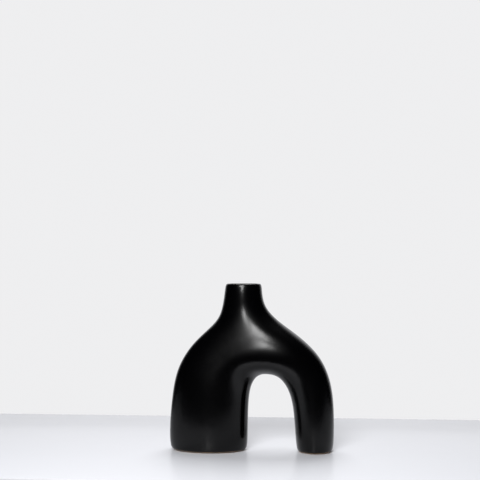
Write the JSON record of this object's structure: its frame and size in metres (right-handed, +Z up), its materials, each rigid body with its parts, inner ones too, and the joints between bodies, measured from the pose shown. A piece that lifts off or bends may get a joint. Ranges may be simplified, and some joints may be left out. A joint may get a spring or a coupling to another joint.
{
  "type": "arch vase",
  "caption": "Hollow ceramic arch vase with a bottle neck, a broad foot and a slim hollow leg, with felt pads under both.",
  "frame": {"origin": "on the resting plane, under the middle of the vase's width and depth", "axes": "+Z up along the neck, +X from the broad foot towards the leg, front towards -Y"},
  "size_m": [0.1983, 0.068, 0.1999],
  "materials": {
    "black_glaze": "satin matt",
    "felt": "pressed wool felt"
  },
  "bodies": {
    "root": {"ceramic_body": "black_glaze", "main_foot_pad": "felt", "leg_foot_pad": "felt"}
  },
  "joints": []
}
